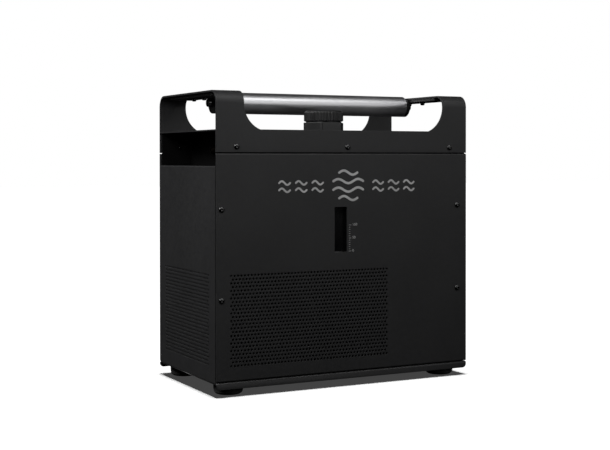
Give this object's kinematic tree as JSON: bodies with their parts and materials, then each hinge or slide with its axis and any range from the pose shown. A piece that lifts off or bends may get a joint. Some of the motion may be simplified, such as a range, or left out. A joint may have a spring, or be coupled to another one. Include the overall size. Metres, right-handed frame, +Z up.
{
  "type": "fog machine",
  "caption": "Box-shaped portable fog machine with a tube carrying handle, screw filler cap, level window and perforated vents.",
  "frame": {"origin": "on the floor, under the middle of the case", "axes": "+Z up, -Y out of the front panel with the level window, -X out of the end with the outlet recess"},
  "size_m": [0.47, 0.2574, 0.4863],
  "materials": {
    "powder_coat": "fine-texture black powder coat, satin",
    "deck_coat": "fine-texture black powder coat, satin",
    "duct_coat": "matt black paint",
    "satin_tube": "satin anodised, drawn along its length",
    "black_fitting": "matt black",
    "black_screw": "black oxide, semi-gloss",
    "foot_rubber": "matt moulded rubber",
    "seal_rubber": "matt",
    "cap_plastic": "moulded black plastic, satin",
    "tank_plastic": "natural translucent moulded plastic",
    "tinted_pane": "dark tinted gloss",
    "pump_housing": "black moulded over a wound coil",
    "bright_steel": "ground bright",
    "hose_rubber": "semi-gloss grey",
    "cast_block": "as cast, finned",
    "nozzle_brass": "turned",
    "fan_plastic": "moulded black",
    "supply_case": "plated sheet cage",
    "circuit_board": "green solder mask",
    "display_plastic": "gloss black",
    "button_plastic": "satin dark grey",
    "socket_plastic": "satin black"
  },
  "bodies": {
    "root": {"base_plate": "powder_coat", "control_board": "circuit_board", "data_socket_in": "socket_plastic", "data_socket_out": "socket_plastic", "display_panel": "display_plastic", "fan_frame": "fan_plastic", "feed_hose": "hose_rubber", "filler_neck": "cap_plastic", "fluid_tank": "tank_plastic", "fog_nozzle": "nozzle_brass", "foot_1": "foot_rubber", "foot_2": "foot_rubber", "foot_3": "foot_rubber", "foot_4": "foot_rubber", "front_panel": "powder_coat", "front_screw_1": "black_screw", "front_screw_2": "black_screw", "front_screw_3": "black_screw", "front_screw_4": "black_screw", "handle_bolt_left": "black_screw", "handle_bolt_right": "black_screw", "handle_bracket_left": "black_fitting", "handle_bracket_right": "black_fitting", "handle_frame": "powder_coat", "handle_tube": "satin_tube", "heater_block": "cast_block", "left_end_panel": "powder_coat", "outlet_duct": "duct_coat", "power_inlet": "socket_plastic", "power_supply": "supply_case", "pump_body": "pump_housing", "pump_spring": "bright_steel", "rear_panel": "powder_coat", "rear_screw_1": "black_screw", "rear_screw_2": "black_screw", "rear_screw_3": "black_screw", "rear_screw_4": "black_screw", "right_end_panel": "powder_coat", "sight_window": "tinted_pane", "skirt_screw_front_1": "black_screw", "skirt_screw_front_2": "black_screw", "skirt_screw_front_3": "black_screw", "skirt_screw_rear_1": "black_screw", "skirt_screw_rear_2": "black_screw", "skirt_screw_rear_3": "black_screw", "strap_screw_1": "black_screw", "strap_screw_2": "black_screw", "strap_screw_3": "black_screw", "strap_screw_4": "black_screw", "suction_hose": "hose_rubber", "top_deck": "deck_coat"},
    "seal": {"cap_seal": "seal_rubber"},
    "cap": {"filler_cap": "cap_plastic"},
    "rotor": {"fan_rotor": "fan_plastic"},
    "plunger": {"pump_plunger": "bright_steel"},
    "rocker": {"power_switch": "button_plastic"},
    "button_1": {"menu_button_1": "button_plastic"},
    "button_2": {"menu_button_2": "button_plastic"},
    "button_3": {"menu_button_3": "button_plastic"},
    "button_4": {"menu_button_4": "button_plastic"}
  },
  "joints": [
    {"name": "cap_lift", "type": "slide", "parent": "root", "child": "seal", "axis": [0, 0, 1], "range_m": [0, 0.0051]},
    {"name": "cap_turn", "type": "hinge", "parent": "seal", "child": "cap", "pos_m": [-0.012, -0.0636, 0.446], "axis": [0, 0, 1], "range_deg": [0, 450]},
    {"name": "fan_spin", "type": "hinge", "parent": "root", "child": "rotor", "pos_m": [-0.2225, 0.003, 0.119], "axis": [1, 0, 0], "continuous": true},
    {"name": "plunger_stroke", "type": "slide", "parent": "root", "child": "plunger", "axis": [0, 0, 1], "range_m": [-0.003, 0], "stiffness_N_per_m": 1500, "springref_m": 0.0005, "deforming": ["pump_spring"]},
    {"name": "switch_tilt", "type": "hinge", "parent": "root", "child": "rocker", "pos_m": [0.221, 0.07, 0.11], "axis": [0, 1, 0], "range_deg": [-16, 0]},
    {"name": "button_1_press", "type": "slide", "parent": "root", "child": "button_1", "axis": [-1, 0, 0], "range_m": [0, 0.0015]},
    {"name": "button_2_press", "type": "slide", "parent": "root", "child": "button_2", "axis": [-1, 0, 0], "range_m": [0, 0.0015]},
    {"name": "button_3_press", "type": "slide", "parent": "root", "child": "button_3", "axis": [-1, 0, 0], "range_m": [0, 0.0015]},
    {"name": "button_4_press", "type": "slide", "parent": "root", "child": "button_4", "axis": [-1, 0, 0], "range_m": [0, 0.0015]}
  ],
  "couplings": [
    {"joint": "cap_lift", "follows": "cap_turn", "m_per_rad": 0.00063662}
  ]
}
